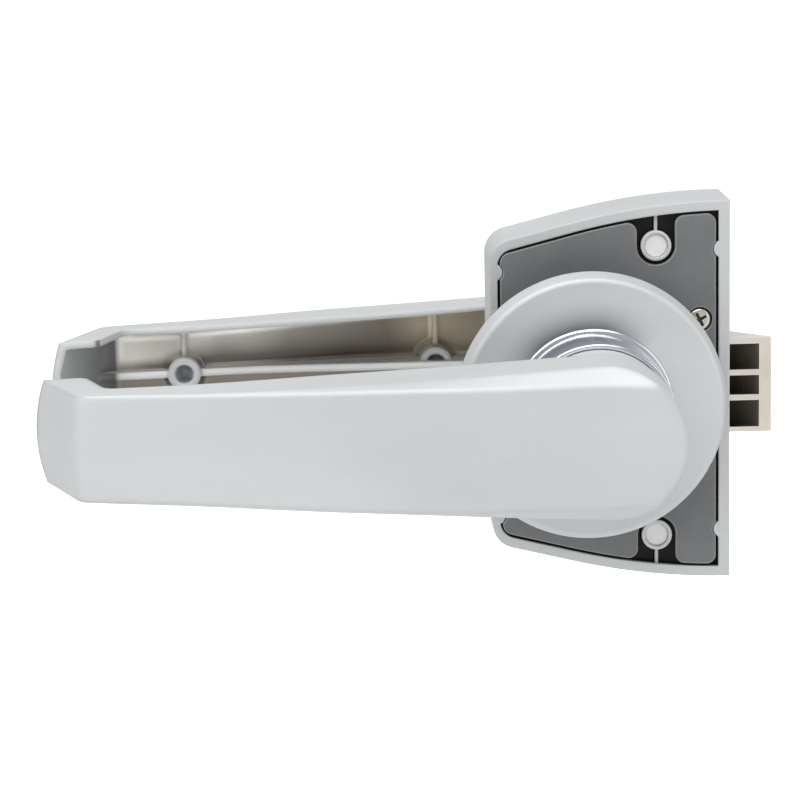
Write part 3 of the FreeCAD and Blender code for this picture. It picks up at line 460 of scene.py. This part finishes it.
def nickelWithPaintedLight(finish, along, z, values):
    # painted reflection and shade over the bare nickel: bright towards the upper wall and dark beside
    # the rail, as the hollow shows its surroundings
    reach = leverInside["reach"]
    sheen = finish.noise(**values["sheen"])
    streak = finish.noise(**values["streak"])
    spread = (along + sheen.swing(values["sheenAlong"])) / reach
    high, low = (finish.ramp(spread, *[(spot / reach, tone) for spot, tone in values[name]])
                 for name in ("high", "low"))
    toTip = along.above(values["toTip"], values["toTipSoft"])
    fade = z + sheen.swing(values["sheenUp"]) - finish.blend(toTip, *values["fadeLow"])
    fade = (fade / finish.blend(toTip, *values["fadeSpan"])).clamped()
    # a painted highlight along the ledge above the rail
    ledgeHighlight = z.between(*values["ledgeHighlight"], values["ledgeSoft"])
    ledgeHighlight = ledgeHighlight * along.between(*values["ledgeReach"], values["ledgeEnd"])
    colour = finish.mix((fade + ledgeHighlight * values["ledgeShare"]).clamped(), low, high)
    colour = finish.mix(z.below(values["underLevel"], values["underSoft"]), colour, values["under"])
    lit = (along + sheen.swing(values["litSheen"])).above(values["lit"], values["litSoft"])
    return colour, values["roughness"] + streak.swing(values["roughStreak"]), 1 - lit * values["litDull"]


def leverFinish(name, rim, side, values):
    finish = Finish(name, paint["high"])
    colour, rough, height = paintOn(finish, paint)
    x, y, z = finish.axes(finish.place)
    facingX, facingY, facingZ = finish.axes(finish.facing)
    facing, facingSoft, soft = values["facing"], values["facingSoft"], values["soft"]
    deep, along = (y - rim) * side, -x
    floor = finish.profile(along, values["depths"], values["rampScale"])
    doorward = (facingY * -side).above(facing, facingSoft)
    inward = (facingZ * z.math("SIGN")).below(-facing, facingSoft)
    headward = facingX.above(facing, facingSoft) * along.above(values["turn"], soft)
    climb = along.rising(values["turn"], values["turned"]) * values["climb"]
    hollow = doorward.orElse(inward).orElse(headward) * along.above(values["start"], soft)
    hollow = hollow * (deep + climb).above(values["rimBand"], soft)
    hollow = hollow * (floor - deep).above(values["floorGap"], soft)
    inTip = along.above(tipInsideShade["start"], tipInsideShade["soft"])
    onRail = abs(z).below(railPaintAndHighlight["half"], railPaintAndHighlight["soft"]) * doorward
    ends, shadedHoles = bossMarks(x, z, deep, leverBosses)
    unpainted = hollow * (1 - inTip) * (1 - ends)
    bare = unpainted * (1 - onRail)
    nickelAndPaintedLight, nickelRough, nickelMetallic = nickelWithPaintedLight(finish, along, z, bareNickelAndPaintedLight)
    # the tip's inside: painted shade, lighter towards the end
    tipShade = finish.mix(along.above(tipInsideShade["end"], tipInsideShade["endSoft"]),
                     tipInsideShade["colour"], tipInsideShade["endColour"])
    colour = finish.mix(hollow * inTip * tipInsideShade["share"], colour, tipShade)
    # the rail's paint, lightened as a painted highlight
    colour = finish.mix(unpainted * onRail, colour, railPaintAndHighlight["colour"])
    # bare nickel under painted reflection and shade
    colour = finish.mix(bare, colour, nickelAndPaintedLight)
    # painted shade in the boss holes
    colour = finish.mix(shadedHoles, colour, leverBosses["holeShade"])
    middle, share = bareNickelAndPaintedLight["heightMiddle"], bareNickelAndPaintedLight["heightShare"]
    height = finish.blend(bare, height, middle + (height - middle) * share)
    finish.set("Metallic", finish.blend(bare, paint["metallic"], nickelMetallic))
    finish.cover(colour, finish.blend(bare, rough, nickelRough), height, soften=paint["leverSoften"])
    return finish


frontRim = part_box("front_collar")[0][1] - leverInside["frontGap"]
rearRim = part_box("rear_collar")[1][1] + leverInside["rearGap"]
frontSilver = leverFinish("frontLeverSilver", frontRim, -1, leverInside)
rearSilver = leverFinish("rearLeverSilver", rearRim, 1, leverInside)
print("painted castings are finished")

# plated and bare metals
metals = dict(
    # chrome, its colour tinted blue as a painted reflection of the surroundings
    polishedChromeAndPaintedReflection=dict(low=(0.66, 0.70, 0.75), high=(0.78, 0.81, 0.85), edge=(0.95, 0.96, 0.97),
                        roughness=0.14, grain=1800, stretch=(1, 0.06, 1), bump=0.03),
    zincPlatedSteel=dict(low=(0.42, 0.43, 0.45), high=(0.60, 0.61, 0.62), edge=(0.72, 0.72, 0.72),
                         roughness=0.36, grain=1500, stretch=(1, 0.1, 1), bump=0.08),
    # the plate's steel: dark steel, darkened further as painted shade in the gaps it shows through
    darkSteelAndPaintedShade=dict(low=(0.016, 0.0155, 0.015), high=(0.030, 0.029, 0.028), edge=(0.06, 0.06, 0.06),
                   roughness=0.45, grain=1500, stretch=(1, 0.1, 1), bump=0.08),
    screwNickel=dict(low=(0.66, 0.62, 0.56), high=(0.86, 0.82, 0.75), edge=(0.95, 0.92, 0.87),
                     roughness=0.30, grain=1600, stretch=(1, 1, 1), bump=0.08),
    castNickel=dict(low=(0.74, 0.665, 0.575), high=(0.90, 0.84, 0.755), edge=(0.96, 0.93, 0.88),
                    roughness=0.30, grain=1200, stretch=(0.2, 1, 1), bump=0.08),
)
plating = dict(detail=3, noiseRoughness=0.6, cloud=60, cloudSoft=0.5, paleEdgeRadius=0.0004,
               paleEdgeTurn=(0.01, 0.15), paleEdgeShare=0.6, roughLines=0.12, roughTone=0.08, roughRub=0.05)


def plated(name):
    metal, values = metals[name], plating
    finish = Finish(name, metal["high"], metallic=1.0)
    lines = finish.noise(metal["grain"], values["detail"], values["noiseRoughness"], metal["stretch"])
    tone = finish.noise(values["cloud"], values["detail"], values["noiseRoughness"])
    paleEdge = finish.edges(values["paleEdgeRadius"], *values["paleEdgeTurn"])
    colour = finish.mix(tone.above(0.5, values["cloudSoft"]), metal["low"], metal["high"])
    colour = finish.mix(paleEdge * values["paleEdgeShare"], colour, metal["edge"])
    rough = metal["roughness"] + lines.swing(values["roughLines"])
    rough = rough + tone.swing(values["roughTone"]) - paleEdge * values["roughRub"]
    finish.cover(colour, rough, lines, metal["bump"])
    return finish, colour


# the plate's screws: painted shade in the cross of each head
screws = dict(places=((0.0271, 0.0171), (-0.0146, 0.021)), lift=0.00067, reach=0.0019, reachSoft=0.0002,
              mouth=0.0007, mouthSoft=0.0003, colour=(0.10, 0.085, 0.07))


def screwFinish(values):
    finish, colour = plated("screwNickel")
    x, y, z = finish.axes(finish.place)
    up = abs(z - values["lift"])
    shadeInside = 0.0
    for right, high in values["places"]:
        away = reachOf(x - right, up - high)
        shadeInside = away.below(values["reach"], values["reachSoft"]).orElse(shadeInside)
    shadeInside = shadeInside * y.above(values["mouth"], values["mouthSoft"])
    # painted shade in the crosses
    finish.set("Base Color", finish.mix(shadeInside, colour, values["colour"]))
    return finish


# the latch: painted shade in the pockets that lightens towards the nose, and a painted highlight on the
# upper face
latch = dict(
    lift=0.00067, half=0.0111, start=0.0299, end=0.0423, soft=0.0002, mouth=0.0063, mouthSoft=0.0005,
    facing=0.3, facingSoft=0.2, share=0.9, colour=(0.23, 0.215, 0.20),
    nosewardLight=(0.46, 0.42, 0.37), glowBefore=0.0028, glowSoft=0.0045,
    upperFacing=0.6, upperSoft=0.3, upperShare=0.7, upperHighlight=(0.97, 0.96, 0.93), upperMetallic=0.15,
)


def latchFinish(values):
    finish, colour = plated("castNickel")
    x, y, z = finish.axes(finish.place)
    _, facingY, facingZ = finish.axes(finish.facing)
    shadeInside = abs(z - values["lift"]).below(values["half"], values["soft"])
    shadeInside = shadeInside * x.between(values["start"], values["end"], values["soft"])
    shadeInside = shadeInside * y.above(values["mouth"], values["mouthSoft"])
    shadeInside = shadeInside * facingY.below(values["facing"], values["facingSoft"])
    # a painted highlight on the upper face
    upperHighlight = facingZ.above(values["upperFacing"], values["upperSoft"]) * (1 - shadeInside)
    colour = finish.mix(upperHighlight * values["upperShare"], colour, values["upperHighlight"])
    # the pockets' painted shade, lighter towards the nose
    nosewardLight = x.above(values["end"] - values["glowBefore"], values["glowSoft"])
    pocketShade = finish.mix(nosewardLight, values["colour"], values["nosewardLight"])
    finish.set("Metallic", finish.blend(upperHighlight, 1.0, values["upperMetallic"]))
    finish.set("Base Color", finish.mix(shadeInside * values["share"], colour, pocketShade))
    return finish


chromeAndPaintedReflection, _ = plated("polishedChromeAndPaintedReflection")
steel, _ = plated("zincPlatedSteel")
darkSteelAndPaintedShade, _ = plated("darkSteelAndPaintedShade")
screwNickel = screwFinish(screws)
latchNickel = latchFinish(latch)
print("metals are finished")

# moulded pieces
plastics = dict(
    # the pad's pale edges are a painted highlight along its corners
    padGrey=dict(low=(0.15, 0.16, 0.165), high=(0.20, 0.205, 0.21), edge=(0.55, 0.56, 0.57),
                 roughness=0.40, grain=1500, speckle=0.05),
    whiteNylon=dict(low=(0.82, 0.82, 0.80), high=(0.90, 0.90, 0.88), edge=(0.94, 0.94, 0.92),
                    roughness=0.42, grain=1500, speckle=0.0),
    blackRubber=dict(low=(0.020, 0.020, 0.021), high=(0.032, 0.032, 0.033), edge=(0.06, 0.06, 0.06),
                     roughness=0.68, grain=2600, speckle=0.0),
)
moulding = dict(cloud=45, cloudDetail=3, poreDetail=2, noiseRoughness=0.6, cloudSoft=0.5,
                paleEdgeRadius=0.0005, paleEdgeTurn=(0.01, 0.12), paleEdgeShare=0.8, poreLevel=0.62, poreSoft=0.1,
                roughTone=0.12, roughPores=0.1, bump=0.15)


def moulded(name):
    plastic, values = plastics[name], moulding
    finish = Finish(name, plastic["high"], roughness=plastic["roughness"])
    tone = finish.noise(values["cloud"], values["cloudDetail"], values["noiseRoughness"])
    pores = finish.noise(plastic["grain"], values["poreDetail"], values["noiseRoughness"])
    paleEdge = finish.edges(values["paleEdgeRadius"], *values["paleEdgeTurn"])
    specks = pores.above(values["poreLevel"], values["poreSoft"]) * plastic["speckle"]
    colour = finish.mix(tone.above(0.5, values["cloudSoft"]), plastic["low"], plastic["high"])
    colour = finish.mix(specks, colour, plastic["edge"])
    # pale edges: a painted highlight along the corners, strongest on the grey pad
    colour = finish.mix(paleEdge * values["paleEdgeShare"], colour, plastic["edge"])
    rough = plastic["roughness"] + tone.swing(values["roughTone"]) + pores.swing(values["roughPores"])
    finish.cover(colour, rough, pores, values["bump"])
    return finish


padGrey, nylon, rubber = (moulded(name) for name in plastics)
print("plastics are finished")

# each node's finish; the nodes that aren't named here are zinc plated steel
finishes = {
    "case_shell": caseSilver, "rosette_cover": rosetteSilver,
    "front_lever": frontSilver, "rear_lever": rearSilver,
    "front_collar": chromeAndPaintedReflection, "rear_collar": chromeAndPaintedReflection,
    "clamp_pad": padGrey, "mechanism_plate": darkSteelAndPaintedShade, "cover_screws": screwNickel,
    "latch_bolt": latchNickel, "rosette_gasket": rubber,
}
for name in ("boss_plugs", "hub_bush_front", "hub_bush_rear", "latch_guide", "front_lever_bush",
             "rear_thrust_washer", "front_thrust_washer"):
    finishes[name] = nylon
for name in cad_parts:
    for slot in bpy.data.objects[name].material_slots:
        slot.material = finishes.get(name, steel).material
print("finishes are on")

# the latch's spring again, as a wound wire that goes with the case
spring = dict(wire=0.00035, turns=10, steps=28, sides=10, keep=0.45)


def coilTree(name, material):
    # a wound wire along X, its first turn starting on the +Y side
    tree = bpy.data.node_groups.new(name, "GeometryNodeTree")
    for kind, labels in (("Float", ("Coil", "Wire", "Reach")), ("Int", ("Turns", "Steps", "Sides")),
                         ("Vector", ("Place",))):
        for label in labels:
            tree.interface.new_socket(label, in_out="INPUT", socket_type="NodeSocket" + kind)
    tree.interface.new_socket("Geometry", in_out="OUTPUT", socket_type="NodeSocketGeometry")
    sizes = tree.nodes.new("NodeGroupInput").outputs

    def add(kind, inputs):
        made = tree.nodes.new(kind)
        for label, item in inputs.items():
            if isinstance(item, bpy.types.NodeSocket):
                tree.links.new(item, made.inputs[label])
            else:
                made.inputs[label].default_value = item
        return made.outputs[0]

    path = add("GeometryNodeCurveSpiral", {"Resolution": sizes["Steps"], "Rotations": sizes["Turns"],
                                           "Start Radius": sizes["Coil"], "End Radius": sizes["Coil"],
                                           "Height": sizes["Reach"]})
    ring = add("GeometryNodeCurvePrimitiveCircle", {"Resolution": sizes["Sides"],
                                                    "Radius": sizes["Wire"]})
    tube = add("GeometryNodeCurveToMesh", {"Curve": path, "Profile Curve": ring, "Fill Caps": True})
    laid = add("GeometryNodeTransform", {"Geometry": tube, "Rotation": (math.pi / 2, 0, math.pi / 2),
                                         "Translation": sizes["Place"]})
    smooth = add("GeometryNodeSetShadeSmooth", {"Geometry": laid})
    whole = add("GeometryNodeRealizeInstances", {"Geometry": smooth})
    coated = add("GeometryNodeSetMaterial", {"Geometry": whole, "Material": material})
    tree.links.new(coated, tree.nodes.new("NodeGroupOutput").inputs[0])
    return tree


def addSpring(values):
    (left, front, low), (right, back, high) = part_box("latch_spring")
    wire, middle, height = values["wire"], (front + back) / 2, (low + high) / 2
    sizes = {"Coil": (back - front) / 2 - wire, "Wire": wire, "Reach": right - left - wire * 2,
             "Turns": values["turns"], "Steps": values["steps"], "Sides": values["sides"],
             "Place": (left + wire, middle, height)}
    maker = bpy.data.objects.new("springMaker", bpy.data.meshes.new("springMaker"))
    bpy.context.collection.objects.link(maker)
    modifier = maker.modifiers.new("coil", "NODES")
    modifier.node_group = coilTree("latchSpringWire", steel.material)
    for item in modifier.node_group.interface.items_tree:
        if item.in_out == "INPUT":
            modifier[item.identifier] = sizes[item.name]
    made = maker.evaluated_get(bpy.context.evaluated_depsgraph_get())
    piece = bpy.data.objects.new("latch_spring_wire", bpy.data.meshes.new_from_object(made))
    bpy.context.collection.objects.link(piece)
    bpy.data.objects.remove(maker)
    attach(piece, "case")
    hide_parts("latch_spring")
    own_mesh(piece)


addSpring(spring)
print("latch spring is in")
